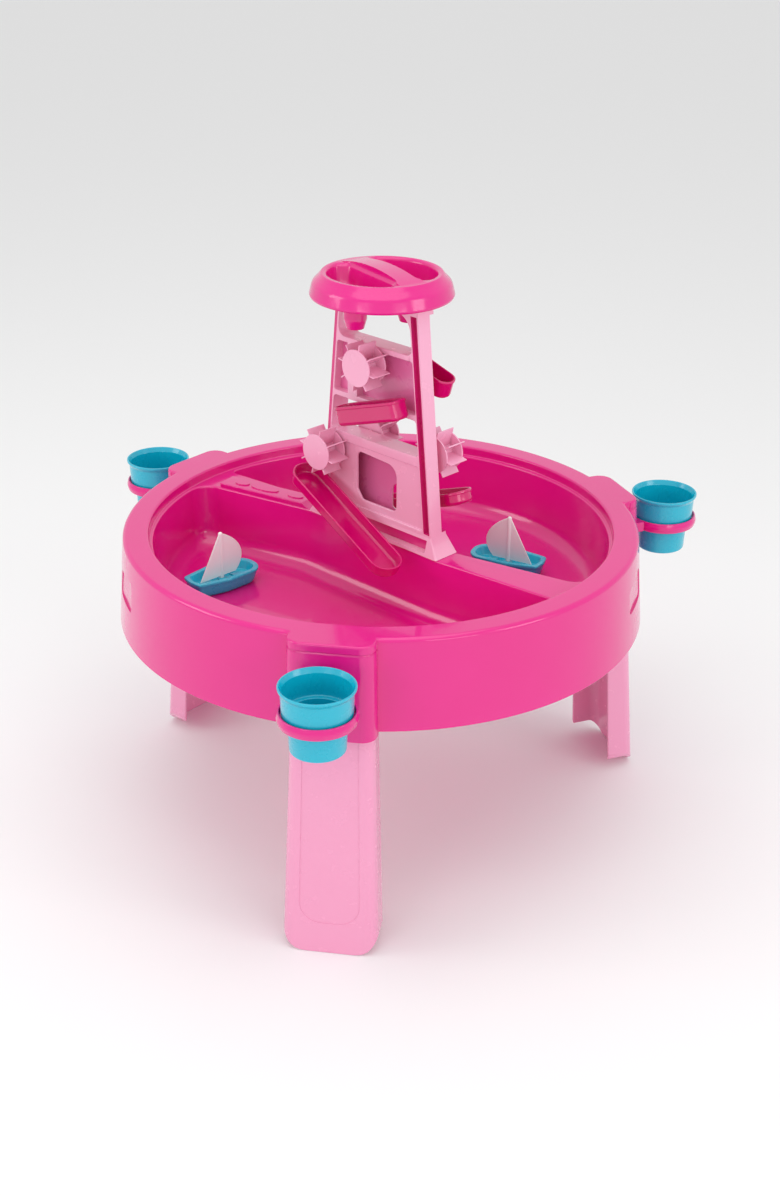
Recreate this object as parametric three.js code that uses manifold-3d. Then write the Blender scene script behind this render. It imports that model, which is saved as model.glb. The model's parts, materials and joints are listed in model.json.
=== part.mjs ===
// Round sand and water play table on three legs: a hot pink basin split by a divider, a water
// tower with paddle wheels, chutes and slides, three cups in ring holders and two toy sail boats.
// Millimetres, +Z up, +X along the divider. The pieces are laid out about the basin's axis, and the
// finished table is moved so that its origin is on the floor, under the middle of its box.
import * as THREE from "three";
import { mergeVertices } from "three/addons/utils/BufferGeometryUtils.js";
import Module from "manifold-3d";

const wasm = await Module();
wasm.setup();

// ---------------------------------------------------------------- driving dimensions
const WALL = 3; // moulded wall thickness
const GAP = 0.3; // clearance between pieces that rest on each other

const RIM_RADIUS = 330;
const RIM_HEIGHT = 409;
const RIM_WIDTH = 32;
const RIM_ROUND = 5;
const SKIRT_DEPTH = 115;
const SKIRT_FLARE = 10;
const LEDGE_DROP = 13; // from the rim down to the ledge and the divider's top
const LEDGE_WIDTH = 5;
const DIVIDER_WIDTH = 36;
const POCKET_DEPTH = 82; // from the ledge down to the sand and water floors
const BEND_X = 115; // where the divider's middle ends and its two arms swing round
const ARM_LEAN = { blunt: 13.3, sharp: 6.2 }; // degrees that each compartment's edge swings
const POCKET_CORNER = { blunt: 26, sharp: 9 };
const POCKET_FILLET = 24;
const POCKET_DRAFT = 6;
const ROUND_STEPS = 72;

const LEG_ANGLES = { front: -55, right: 65, left: 185 };
const HOUSING = { face: 351, flare: 8, width: 102, widen: 6, corner: 18, inner: 299.5, drop: 3 };
const LEG = { topWidth: 94, footWidth: 118, topFace: 337, footFace: 368, topDepth: 34, footDepth: 42 };
const LEG_WALL = 4;
const LEG_TOP = RIM_HEIGHT - 9;
const LEG_CORNER = 16;
const FOOT_ROUND = 30;

const CUP_REACH = 415; // from the table's axis to a cup's axis
const CUP_LIP_HEIGHT = 393;
const CUP_HEIGHT = 80;
const CUP = { lip: 44, upper: 41, shoulder: 40, lower: 34, foot: 32, wall: 2 };
const CUP_UPPER_DEPTH = 36;
const CUP_STEPS = 24;
const RING = { outer: 46, bore: 36.5, seat: 42, height: 14, seatDepth: 5, neck: 44 };

const DIVIDER_TOP = RIM_HEIGHT - LEDGE_DROP;
const FLOOR_TOP = DIVIDER_TOP - POCKET_DEPTH;
const PLATEAU = { from: -268, to: -134, height: 6, width: 31 };

const TOWER_TOP = 705;
const TOWER_FOOT = DIVIDER_TOP + GAP;
const TOWER_HALF = 14; // half of the frame's thickness
const TOWER_SHEET = 3; // the frame's plates
const BASE_HEIGHT = 24;
const BASE_HALF_LENGTH = 115;
const BASE_HALF_WIDTH = 20;
const POST_FOOT_X = 101;
const POST_TOP_X = 73;
const POST_WIDTH = 15;
const CHANNEL = { depth: 8, flange: 2.5 }; // sunk down both faces of each post
const WEB_SINK = 3; // the lower panel lies this far behind the posts' faces
const SHELF = 7; // thickness of the three cross shelves
const SHELF_HEIGHTS = { low: 515, middle: 568, high: 641 };

const WHEEL = { disc: 23.5, paddle: 31, width: 30, sheet: 2, hub: 8, paddles: 8 };
const WHEEL_NEAR = 16; // from the tower's mid plane to a wheel's inner face
const AXLE_RADIUS = 3.5;
const AXLE_BORE = 4;
const BOSS_RADIUS = 9;
const WHEELS = [
  { name: "front_upper", x: 0, z: 626, side: -1, phase: -11 },
  { name: "front_lower", x: -73, z: 497, side: -1, phase: -15 },
  { name: "back_right", x: 74, z: 517, side: 1, phase: -12 },
  { name: "back_left", x: -36, z: 513, side: 1, phase: -4 },
];

const DISH = { base: 706, radius: 89, topRadius: 75, edge: 709, top: 738, corner: 14 };
const DISH_BAR = { width: 30, turn: -13, crest: 745, end: 737 };
const SPOUT = { x: -12, y: -34, radius: 14.5, tip: 11, bore: 7, bottom: 672 };

const CHUTE = { width: 30, depth: 25, sheet: 2.5, near: 16 };
const SLIDE = { width: 44, depth: 17, sheet: 2.5, endRound: 22 };

const BOAT = { length: 104, width: 52, height: 22, deck: 11, lip: 6, stern: 21 };
const SAIL = { height: 62, sheet: 2.4, mast: 3, peg: 6, jib: 34, main: 30 };
const BOATS = [
  { name: "front", x: -150, y: -145, heading: -95 },
  { name: "back", x: 82, y: 160, heading: 18 },
];

const PLASTIC = {
  hot: 0xe91e8c,
  deep: 0xd6006e,
  pale: 0xf4a8c8,
  light: 0xf7bed7,
  cup: 0x00b4cd,
  sail: 0xebf0ee,
};

// ---------------------------------------------------------------- small tools
const radians = (degrees) => (degrees * Math.PI) / 180;
const group = new THREE.Group();

// A closed three.js geometry as a manifold-3d solid, for joining and cutting.
function solid(geometry) {
  const bare = geometry.clone();
  bare.deleteAttribute("normal");
  bare.deleteAttribute("uv");
  const merged = mergeVertices(bare, 1e-3);
  return new wasm.Manifold(
    new wasm.Mesh({
      numProp: 3,
      vertProperties: new Float32Array(merged.attributes.position.array),
      triVerts: new Uint32Array(merged.index.array),
    }),
  );
}

function geometryOf(manifold) {
  const { vertProperties, triVerts } = manifold.getMesh();
  const geometry = new THREE.BufferGeometry();
  geometry.setAttribute("position", new THREE.BufferAttribute(new Float32Array(vertProperties), 3));
  geometry.setIndex(new THREE.BufferAttribute(new Uint32Array(triVerts), 1));
  geometry.computeVertexNormals();
  return geometry;
}

function add(name, shape, colour, roughness = 0.3) {
  const material = new THREE.MeshStandardMaterial({ color: colour, roughness, metalness: 0 });
  const mesh = new THREE.Mesh(geometryOf(shape), material);
  mesh.name = name;
  group.add(mesh);
  return mesh;
}

const union = (shapes) => shapes.reduce((whole, next) => whole.add(next));

// A profile of [radius, height] pairs, listed up the outside, turned about Z.
function lathe(profile, steps = ROUND_STEPS) {
  const points = profile.map(([radius, height]) => new THREE.Vector2(radius, height));
  return solid(new THREE.LatheGeometry(points, steps).rotateX(Math.PI / 2));
}

function cylinderZ(radius, low, high, steps = 32) {
  const geometry = new THREE.CylinderGeometry(radius, radius, high - low, steps).rotateX(Math.PI / 2);
  return solid(geometry.translate(0, 0, (low + high) / 2));
}

function cylinderY(radius, near, far, x, z, steps = 24) {
  const geometry = new THREE.CylinderGeometry(radius, radius, Math.abs(far - near), steps);
  return solid(geometry.translate(x, (near + far) / 2, z));
}

function box(low, high) {
  const size = high.map((value, i) => value - low[i]);
  const middle = high.map((value, i) => (value + low[i]) / 2);
  return solid(new THREE.BoxGeometry(...size).translate(...middle));
}

// A polygon with each corner rounded to its own radius: corners are [x, y, radius].
function roundedShape(corners, steps = 4) {
  const points = [];
  corners.forEach(([x, y, radius = 0], i) => {
    const here = new THREE.Vector2(x, y);
    const before = new THREE.Vector2(...corners.at(i - 1).slice(0, 2)).sub(here).normalize();
    const after = new THREE.Vector2(...corners[(i + 1) % corners.length].slice(0, 2)).sub(here).normalize();
    if (!radius) {
      points.push(here);
      return;
    }
    const half = Math.acos(before.dot(after)) / 2;
    const centre = before.clone().add(after).normalize().multiplyScalar(radius / Math.sin(half)).add(here);
    const start = before.clone().multiplyScalar(radius / Math.tan(half)).add(here).sub(centre);
    const end = after.clone().multiplyScalar(radius / Math.tan(half)).add(here).sub(centre);
    const turn = start.cross(end) > 0 ? 1 : -1;
    const sweep = Math.acos(Math.min(1, start.dot(end) / radius ** 2)) * turn;
    for (let k = 0; k <= steps; k++) {
      points.push(start.clone().rotateAround(new THREE.Vector2(), (sweep * k) / steps).add(centre));
    }
  });
  return new THREE.Shape(points);
}

// A shape drawn in X and Z, given its thickness from y = near to y = far.
function extrudeAcross(shape, near, far) {
  const geometry = new THREE.ExtrudeGeometry(shape, { depth: far - near, bevelEnabled: false });
  return solid(geometry.rotateX(Math.PI / 2).translate(0, far, 0));
}

// A skin through rings of [x, y, z] points, counter-clockwise from above and listed upwards.
function loft(rings) {
  const count = rings[0].length;
  const positions = rings.flat(2);
  const flat = (ring) => ring.map(([x, y]) => new THREE.Vector2(x, y));
  const index = [];
  for (let level = 0; level + 1 < rings.length; level++) {
    for (let i = 0; i < count; i++) {
      const next = (i + 1) % count;
      const [a, b] = [level * count + i, level * count + next];
      index.push(a, b, b + count, a, b + count, a + count);
    }
  }
  THREE.ShapeUtils.triangulateShape(flat(rings[0]), []).forEach(([a, b, c]) => index.push(c, b, a));
  const top = (rings.length - 1) * count;
  THREE.ShapeUtils.triangulateShape(flat(rings.at(-1)), []).forEach(([a, b, c]) =>
    index.push(top + a, top + b, top + c),
  );
  const geometry = new THREE.BufferGeometry();
  geometry.setAttribute("position", new THREE.Float32BufferAttribute(positions, 3));
  geometry.setIndex(index);
  return solid(geometry);
}

const atHeight = (points, z) => points.map(([x, y]) => [x, y, z]);

// ---------------------------------------------------------------- basin
// Plan of the compartment on the -Y side, drawn in by `inset`. Its edge on the divider runs along X
// in the middle and swings towards -Y at the blunt end and towards +Y at the sharp end.
function pocketOutline(inset, arcSteps = 30, cornerSteps = 6) {
  const radius = RIM_RADIUS - RIM_WIDTH - LEDGE_WIDTH - inset;
  const edge = DIVIDER_WIDTH / 2 + inset;
  const end = (side, lean, corner) => {
    const along = new THREE.Vector2(Math.cos(radians(lean)), Math.sin(radians(lean)));
    const inwards = new THREE.Vector2(along.y, -along.x);
    const distance = inwards.dot(new THREE.Vector2(side * BEND_X, -DIVIDER_WIDTH / 2)) + inset;
    const reach = Math.sqrt((radius - corner) ** 2 - (distance + corner) ** 2);
    const centre = inwards.clone().multiplyScalar(distance + corner);
    centre.addScaledVector(along, side * reach);
    const bendX = (distance - inwards.y * -edge) / inwards.x;
    return { centre, corner, bendX, lean: radians(lean), outwards: Math.atan2(centre.y, centre.x) };
  };
  const blunt = end(-1, ARM_LEAN.blunt, POCKET_CORNER.blunt);
  const sharp = end(1, ARM_LEAN.sharp, POCKET_CORNER.sharp);
  const points = [];
  const sweep = (x, y, r, from, to, steps) => {
    for (let k = 0; k < steps; k++) {
      const angle = from + ((to - from) * k) / steps;
      points.push([x + r * Math.cos(angle), y + r * Math.sin(angle)]);
    }
  };
  const { x: farX, y: farY } = sharp.centre;
  const { x: nearX, y: nearY } = blunt.centre;
  sweep(0, 0, radius, blunt.outwards, sharp.outwards, arcSteps);
  sweep(farX, farY, sharp.corner, sharp.outwards, Math.PI / 2 + sharp.lean, cornerSteps);
  points.push([farX - sharp.corner * Math.sin(sharp.lean), farY + sharp.corner * Math.cos(sharp.lean)]);
  points.push([sharp.bendX, -edge], [blunt.bendX, -edge]);
  sweep(nearX, nearY, blunt.corner, Math.PI / 2 + blunt.lean, 2 * Math.PI + blunt.outwards, cornerSteps);
  return points;
}

// One compartment, grown outwards by `grow` for the shell's underside.
function compartment(grow) {
  const rings = [];
  const quarter = 4;
  for (let k = quarter; k >= 0; k--) {
    const angle = (Math.PI / 2) * (k / quarter);
    const inset = POCKET_DRAFT + POCKET_FILLET * (1 - Math.cos(angle));
    const height = FLOOR_TOP - grow + POCKET_FILLET * (1 - Math.sin(angle));
    rings.push(atHeight(pocketOutline(inset - grow), height));
  }
  rings.push(atHeight(pocketOutline(-grow), DIVIDER_TOP + 1));
  return loft(rings);
}

function basin() {
  const skirtFoot = RIM_HEIGHT - SKIRT_DEPTH;
  const foot = RIM_RADIUS + SKIRT_FLARE;
  const inner = RIM_RADIUS - RIM_WIDTH;
  const whole = lathe([
    [0, skirtFoot],
    [foot, skirtFoot],
    [RIM_RADIUS + 1, RIM_HEIGHT - RIM_ROUND],
    [RIM_RADIUS - 0.5, RIM_HEIGHT - RIM_ROUND * 0.4],
    [RIM_RADIUS - RIM_ROUND, RIM_HEIGHT],
    [inner, RIM_HEIGHT],
    [inner, DIVIDER_TOP],
    [0, DIVIDER_TOP],
  ]);
  const underside = lathe([
    [0, skirtFoot - 10],
    [foot - WALL, skirtFoot - 10],
    [foot - WALL, skirtFoot],
    [RIM_RADIUS + 1 - WALL, RIM_HEIGHT - RIM_ROUND - 1],
    [RIM_RADIUS - RIM_ROUND, RIM_HEIGHT - WALL],
    [inner + WALL, RIM_HEIGHT - WALL],
    [inner + WALL, DIVIDER_TOP - WALL],
    [0, DIVIDER_TOP - WALL],
  ]);
  const grown = compartment(WALL);
  const hollow = underside.subtract(grown).subtract(grown.rotate([0, 0, 180]));
  const housings = Object.values(LEG_ANGLES).map((angle) => housing(0).rotate([0, 0, angle]));
  const sockets = Object.values(LEG_ANGLES).map((angle) => housing(WALL).rotate([0, 0, angle]));
  const pocket = compartment(0);
  return union([whole, ...housings])
    .subtract(union([hollow, ...sockets]))
    .subtract(pocket)
    .subtract(pocket.rotate([0, 0, 180]))
    .add(plateau());
}

// A leg housing on +X, or with `inset` the socket inside it that is open below.
function housing(inset) {
  const outline = (face, width) => {
    const half = width / 2 - inset;
    const out = face - inset;
    const round = HOUSING.corner - inset;
    return roundedShape([
      [HOUSING.inner, -half, 0],
      [out, -half, round],
      [out, half, round],
      [HOUSING.inner, half, 0],
    ])
      .getPoints()
      .map(({ x, y }) => [x, y]);
  };
  const foot = RIM_HEIGHT - SKIRT_DEPTH - HOUSING.drop - (inset ? 10 : 0);
  const low = outline(HOUSING.face + HOUSING.flare, HOUSING.width + HOUSING.widen);
  const high = outline(HOUSING.face, HOUSING.width);
  return loft([atHeight(low, foot), atHeight(high, RIM_HEIGHT - (inset ? WALL + 2 : 0))]);
}

// The raised seat on the divider's arm beside the tower, with a slanted end towards it.
function plateau() {
  const profile = roundedShape([
    [PLATEAU.from, DIVIDER_TOP - 1, 0],
    [PLATEAU.to + 12, DIVIDER_TOP - 1, 0],
    [PLATEAU.to, DIVIDER_TOP + PLATEAU.height, 2],
    [PLATEAU.from, DIVIDER_TOP + PLATEAU.height, 0],
  ]);
  return extrudeAcross(profile, -PLATEAU.width / 2, PLATEAU.width / 2)
    .translate([BEND_X, 0, 0])
    .rotate([0, 0, ARM_LEAN.blunt])
    .translate([-BEND_X, 0, 0]);
}

// ---------------------------------------------------------------- legs
// Section of a leg at one height: a channel open towards the table's axis.
function legSection(height) {
  const t = height / LEG_TOP;
  const mix = (foot, top) => foot + (top - foot) * t;
  const half = mix(LEG.footWidth, LEG.topWidth) / 2;
  const face = mix(LEG.footFace, LEG.topFace);
  const back = face - mix(LEG.footDepth, LEG.topDepth);
  const outer = [
    [back, -half, 0],
    [face, -half, LEG_CORNER],
    [face, half, LEG_CORNER],
    [back, half, 0],
    [back, half - LEG_WALL, 0],
    [face - LEG_WALL, half - LEG_WALL, LEG_CORNER - LEG_WALL],
    [face - LEG_WALL, -half + LEG_WALL, LEG_CORNER - LEG_WALL],
    [back, -half + LEG_WALL, 0],
  ];
  const points = roundedShape(outer).getPoints();
  return points.map(({ x, y }) => [x, y, height]);
}

function leg() {
  const channel = loft([legSection(0), legSection(LEG_TOP)]);
  const half = LEG.footWidth / 2;
  const front = roundedShape(
    [
      [-half, 0, FOOT_ROUND],
      [half, 0, FOOT_ROUND],
      [half, LEG_TOP + 5, 0],
      [-half, LEG_TOP + 5, 0],
    ],
    6,
  );
  const turned = extrudeAcross(front, -LEG.footFace - 10, -LEG.topFace + 60).rotate([0, 0, 90]);
  return channel.intersect(turned);
}

// ---------------------------------------------------------------- cups and their rings
const RING_TOP = CUP_LIP_HEIGHT - CUP_UPPER_DEPTH + RING.seatDepth;

function cup() {
  const foot = CUP_LIP_HEIGHT - CUP_HEIGHT;
  const shoulder = CUP_LIP_HEIGHT - CUP_UPPER_DEPTH + GAP;
  const { lip, upper, shoulder: step, lower, foot: base, wall } = CUP;
  return lathe(
    [
      [0, foot],
      [base - 4, foot],
      [base, foot + 4],
      [lower, shoulder],
      [step, shoulder],
      [upper, CUP_LIP_HEIGHT - 6],
      [lip, CUP_LIP_HEIGHT - 2],
      [lip, CUP_LIP_HEIGHT],
      [lip - wall, CUP_LIP_HEIGHT],
      [upper - wall, CUP_LIP_HEIGHT - 6],
      [step - wall, shoulder + wall],
      [lower - wall, shoulder + wall],
      [base - wall, foot + 5],
      [base - 4 - wall, foot + wall],
      [0, foot + wall],
    ],
    CUP_STEPS,
  );
}

// The ring round the cup with a stepped seat, and its neck to the housing.
function cupRing() {
  const low = RING_TOP - RING.height;
  const middle = low + RING.height / 2;
  const band = lathe(
    [
      [RING.bore, low],
      [RING.outer - 2, low],
      [RING.outer, middle],
      [RING.outer - 2, RING_TOP],
      [RING.seat, RING_TOP],
      [RING.seat, RING_TOP - RING.seatDepth],
      [RING.bore, RING_TOP - RING.seatDepth],
      [RING.bore, low],
    ],
    CUP_STEPS,
  );
  const faceAtRing = HOUSING.face + HOUSING.flare * ((RIM_HEIGHT - low) / (SKIRT_DEPTH + HOUSING.drop));
  const reach = CUP_REACH - faceAtRing - GAP;
  const neck = box([-reach, -RING.neck / 2, low], [-RING.seat + 1.5, RING.neck / 2, RING_TOP]);
  return band.add(neck.subtract(cylinderZ(RING.seat + 0.5, low - 5, RING_TOP + 5, CUP_STEPS)));
}

// ---------------------------------------------------------------- water tower
function postX(z) {
  const foot = TOWER_FOOT + BASE_HEIGHT;
  return POST_FOOT_X + ((POST_TOP_X - POST_FOOT_X) * (z - foot)) / (TOWER_TOP - foot);
}

// A panel between the two posts from one height to another, `inset` in from their outer lines.
function panel(low, high, inset, round = 0) {
  return roundedShape([
    [-postX(low) + inset, low, round],
    [postX(low) - inset, low, round],
    [postX(high) - inset, high, round],
    [-postX(high) + inset, high, round],
  ]);
}

function towerBase() {
  const ring = (halfLength, halfWidth, z) => [
    [-halfLength, -halfWidth, z],
    [halfLength, -halfWidth, z],
    [halfLength, halfWidth, z],
    [-halfLength, halfWidth, z],
  ];
  const block = loft([
    ring(BASE_HALF_LENGTH, BASE_HALF_WIDTH, TOWER_FOOT),
    ring(POST_FOOT_X, TOWER_HALF, TOWER_FOOT + BASE_HEIGHT),
  ]);
  const lip = 5;
  const recessEnd = POST_FOOT_X - 6;
  const recess = (side) => {
    const near = side * (TOWER_HALF - 5);
    const far = side * (BASE_HALF_WIDTH + 1);
    return box(
      [-recessEnd, Math.min(near, far), TOWER_FOOT + lip],
      [recessEnd, Math.max(near, far), TOWER_FOOT + BASE_HEIGHT - lip],
    );
  };
  return block.subtract(recess(1)).subtract(recess(-1));
}

function towerFrame() {
  const { low, middle, high } = SHELF_HEIGHTS;
  const through = TOWER_HALF + 1;
  const panelFoot = TOWER_FOOT + BASE_HEIGHT;
  const plate = extrudeAcross(panel(panelFoot - 1, TOWER_TOP, 0), -TOWER_HALF, TOWER_HALF);
  const upperOpening = roundedShape([
    [-postX(high + SHELF) + POST_WIDTH, high + SHELF, 12],
    [postX(high + SHELF) - POST_WIDTH, high + SHELF, 8],
    [postX(TOWER_TOP) - POST_WIDTH, TOWER_TOP - SHELF, 24],
    [-postX(TOWER_TOP) + POST_WIDTH, TOWER_TOP - SHELF, 24],
  ]);
  const lowerOpening = panel(low + SHELF, middle, POST_WIDTH, 5);
  const webPocket = panel(middle + SHELF, high, POST_WIDTH, 3);
  const lowerPanel = panel(panelFoot + 6, low - 6, POST_WIDTH, 3);
  const inside = panel(panelFoot + 2, low, POST_WIDTH + 2);
  const sheet = TOWER_HALF - WEB_SINK - TOWER_SHEET;
  const lookThrough = roundedShape([
    [-24, 436, 6],
    [37, 436, 8],
    [37, 497, 16],
    [-33, 501, 8],
    [-33, 449, 6],
  ]);
  const notch = roundedShape([
    [12, 430, 4],
    [66, 430, 4],
    [66, 466, 4],
    [12, 466, 12],
  ]);
  const cuts = [
    extrudeAcross(upperOpening, -through, through),
    extrudeAcross(lowerOpening, -through, through),
    extrudeAcross(webPocket, -through, -TOWER_SHEET),
    extrudeAcross(webPocket, TOWER_SHEET, through),
    extrudeAcross(lowerPanel, -through, -TOWER_HALF + WEB_SINK),
    extrudeAcross(lowerPanel, TOWER_HALF - WEB_SINK, through),
    extrudeAcross(inside, -sheet, sheet),
    extrudeAcross(lookThrough, -through, 0),
    extrudeAcross(notch, 0, through),
    ...postChannels(panelFoot + 3, TOWER_TOP - SHELF),
  ];
  const bosses = WHEELS.map(({ x, z, side }) => cylinderY(BOSS_RADIUS, 0, side * (WHEEL_NEAR - GAP), x, z));
  const bearing = box([-46, -TOWER_HALF, middle], [-30, 0, high + 1]);
  const bores = WHEELS.map(({ x, z, side }) =>
    cylinderY(AXLE_BORE, side * 4, side * (WHEEL_NEAR + 1), x, z, 16),
  );
  return union([plate.subtract(union(cuts)), towerBase(), bearing, ...bosses]).subtract(union(bores));
}

// Shallow channels down the front and back of both posts.
function postChannels(low, high) {
  const { depth, flange } = CHANNEL;
  const outline = (side) =>
    new THREE.Shape([
      new THREE.Vector2(side * (postX(low) - flange), low),
      new THREE.Vector2(side * (postX(high) - flange), high),
      new THREE.Vector2(side * (postX(high) - POST_WIDTH + flange), high),
      new THREE.Vector2(side * (postX(low) - POST_WIDTH + flange * 2), low),
    ]);
  return [1, -1].flatMap((side) => [
    extrudeAcross(outline(side), -TOWER_HALF - 1, -TOWER_HALF + depth),
    extrudeAcross(outline(side), TOWER_HALF - depth, TOWER_HALF + 1),
  ]);
}

// A paddle wheel about the Y axis: two plain discs, a blind hub and eight flat paddles.
function paddleWheel({ side, phase }) {
  const { disc, paddle, width, sheet, hub, paddles } = WHEEL;
  const far = side * (WHEEL_NEAR + width);
  const near = side * WHEEL_NEAR;
  const parts = [
    cylinderY(disc, near, near + side * sheet, 0, 0),
    cylinderY(disc, far - side * sheet, far, 0, 0),
    cylinderY(hub, near, far - side, 0, 0, 16),
  ];
  for (let k = 0; k < paddles; k++) {
    const blade = box(
      [hub - 3, Math.min(near, far) + 0.4, -sheet / 2],
      [paddle, Math.max(near, far) - 0.4, sheet / 2],
    );
    parts.push(blade.rotate([0, -(phase + (k * 360) / paddles), 0]));
  }
  const bore = cylinderY(AXLE_BORE, near - side, far - side * 3, 0, 0, 16);
  return union(parts).subtract(bore);
}

const axlePin = ({ side }) =>
  cylinderY(AXLE_RADIUS, side * 4.5, side * (WHEEL_NEAR + WHEEL.width - 4), 0, 0, 16);

// ---------------------------------------------------------------- funnel dish
// Half-disc outline on the -Y side: an arc of the given radius, a chord at y = -edge, round corners.
function halfDisc(radius, edge, corner, arcSteps, cornerSteps) {
  const away = edge + corner;
  const across = Math.sqrt((radius - corner) ** 2 - away ** 2);
  const lean = Math.atan2(away, across);
  const points = [];
  const sweep = (x, y, r, from, to, steps) => {
    for (let k = 0; k < steps; k++) {
      const angle = from + ((to - from) * k) / steps;
      points.push([x + r * Math.cos(angle), y + r * Math.sin(angle)]);
    }
  };
  sweep(0, 0, radius, -Math.PI + lean, -lean, arcSteps);
  sweep(across, -away, corner, -lean, Math.PI / 2, cornerSteps);
  points.push([across, -edge]);
  sweep(-across, -away, corner, Math.PI / 2, Math.PI + lean, cornerSteps);
  return points;
}

function dishBowl() {
  const { topRadius, base, corner } = DISH;
  const edge = DISH_BAR.width / 2;
  const level = (shrink, z) => atHeight(halfDisc(topRadius - 7 - shrink, edge + shrink, corner, 14, 3), z);
  const floor = base + WALL;
  return loft([level(10, floor), level(6, floor + 3), level(3, floor + 12), level(0, DISH_BAR.crest + 1)]);
}

// The bar across the dish, arched a little above the rim.
function dishBar() {
  const { width, crest, end } = DISH_BAR;
  const reach = DISH.topRadius - 4;
  const profile = new THREE.Shape();
  profile.moveTo(-reach, DISH.base + WALL);
  profile.lineTo(reach, DISH.base + WALL);
  profile.lineTo(reach, end);
  profile.quadraticCurveTo(0, 2 * crest - end, -reach, end);
  return extrudeAcross(profile, -width / 2, width / 2);
}

function funnelDish() {
  const { base, radius, topRadius, edge, top } = DISH;
  const outside = lathe(
    [
      [0, base],
      [radius - 16, base],
      [radius - 2, edge],
      [radius, edge + 3],
      [radius - 4, edge + 17],
      [topRadius + 3, top - 6],
      [topRadius - 1, top],
      [0, top],
    ],
    44,
  );
  const bowl = dishBowl().rotate([0, 0, DISH_BAR.turn]);
  const spout = lathe(
    [
      [0, SPOUT.bottom],
      [SPOUT.tip, SPOUT.bottom],
      [SPOUT.radius, SPOUT.bottom + 12],
      [SPOUT.radius, base + 1],
      [0, base + 1],
    ],
    16,
  ).translate([SPOUT.x, SPOUT.y, 0]);
  const bore = lathe(
    [
      [0, SPOUT.bottom - 1],
      [SPOUT.bore, SPOUT.bottom - 1],
      [SPOUT.bore, SPOUT.bottom + 8],
      [SPOUT.radius - 3, base],
      [SPOUT.radius - 3, base + WALL + 3],
      [0, base + WALL + 3],
    ],
    16,
  ).translate([SPOUT.x, SPOUT.y, 0]);
  const turn = [0, 0, 180];
  const bar = dishBar().rotate([0, 0, DISH_BAR.turn]);
  return union([outside, bar, spout, spout.rotate(turn)]).subtract(
    union([bowl, bowl.rotate(turn), bore, bore.rotate(turn)]),
  );
}

// ---------------------------------------------------------------- chutes and slides
// An open trough along +X from x = 0 (round end) to x = length, its rim at z = 0, before tilting.
function trough(length, { width, depth, sheet }, farRound) {
  const half = width / 2;
  const outline = (inset) =>
    roundedShape(
      [
        [inset, -half + inset, half - inset - 0.5],
        [length - inset, -half + inset, farRound - inset],
        [length - inset, half - inset, farRound - inset],
        [inset, half - inset, half - inset - 0.5],
      ],
      7,
    )
      .getPoints()
      .map(({ x, y }) => [x, y]);
  const floorInset = 5;
  const level = (inset, z) => atHeight(outline(inset), z);
  const outer = loft([level(floorInset, -depth), level(1.5, -depth + 6), level(0, 0)]);
  const inner = loft([
    level(floorInset + sheet, -depth + sheet),
    level(1.5 + sheet, -depth + 6 + sheet / 2),
    level(sheet, 1),
  ]);
  return outer.subtract(inner);
}

// The upper chutes tilt about Y and end over a lower wheel; each has a lug that hooks on the frame.
const CHUTES = [
  { name: "front", x: -46, z: 563, length: 112, tilt: 18, side: -1, turn: 0 },
  { name: "back", x: -90, z: 612, length: 84, tilt: 17, side: -1, turn: 180 },
];

function upperChute({ x, z, length, tilt, side, turn }) {
  const y = side * (CHUTE.near + CHUTE.width / 2);
  const shape = trough(length, CHUTE, 8).rotate([0, -tilt, 0]).translate([x, y, z]);
  const lugX = x + (length - 14) * Math.cos(radians(tilt));
  const lugZ = z + (length - 14) * Math.sin(radians(tilt)) - 9;
  const lug = cylinderY(6, -TOWER_HALF - GAP, -CHUTE.near - 1, lugX, lugZ, 16);
  return shape.add(lug).rotate([0, 0, turn]);
}

// The two slides run down from under a lower wheel to over a compartment, turned about Z.
const SLIDE_TOP = { x: -84 - SLIDE.width / 2, y: -41, z: 472 };
const SLIDE_LENGTH = 214;
const SLIDE_TILT = 21;
const SLIDE_YAW = -8;

function slide(turn) {
  const shape = trough(SLIDE_LENGTH, SLIDE, SLIDE.endRound - 1)
    .rotate([0, SLIDE_TILT, SLIDE_YAW])
    .translate([SLIDE_TOP.x, SLIDE_TOP.y, SLIDE_TOP.z]);
  return shape.rotate([0, 0, turn]);
}

// ---------------------------------------------------------------- toy boats
// Hull outline pointing along +X, drawn in by `inset`: a round stern, gently bowed sides and a
// blunt, rounded bow.
function hullOutline(inset) {
  const half = BOAT.width / 2;
  const end = BOAT.length / 2;
  const outline = roundedShape(
    [
      [-end, -half + 3, BOAT.stern],
      [4, -half - 1, 30],
      [end - 4, -half + 8, 5],
      [end, 0, 30],
      [end - 4, half - 8, 5],
      [4, half + 1, 30],
      [-end, half - 3, BOAT.stern],
    ],
    3,
  );
  return outline.getPoints().map(({ x, y }) => [x * (1 - inset / end), y * (1 - inset / half)]);
}

function hull() {
  const low = FLOOR_TOP + GAP;
  const level = (inset, z) => atHeight(hullOutline(inset), low + z);
  const outside = loft([level(9, 0), level(5, 4), level(1.5, BOAT.height - 4), level(0, BOAT.height)]);
  const tray = loft([level(BOAT.lip + 5, BOAT.deck), level(BOAT.lip, BOAT.height + 1)]);
  const socket = cylinderZ(SAIL.mast + 3, low + 2, low + BOAT.deck + 3, 20);
  const hole = cylinderZ(SAIL.mast + GAP, low + BOAT.deck - SAIL.peg, low + BOAT.height, 16);
  return outside.subtract(tray).add(socket).subtract(hole);
}

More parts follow.
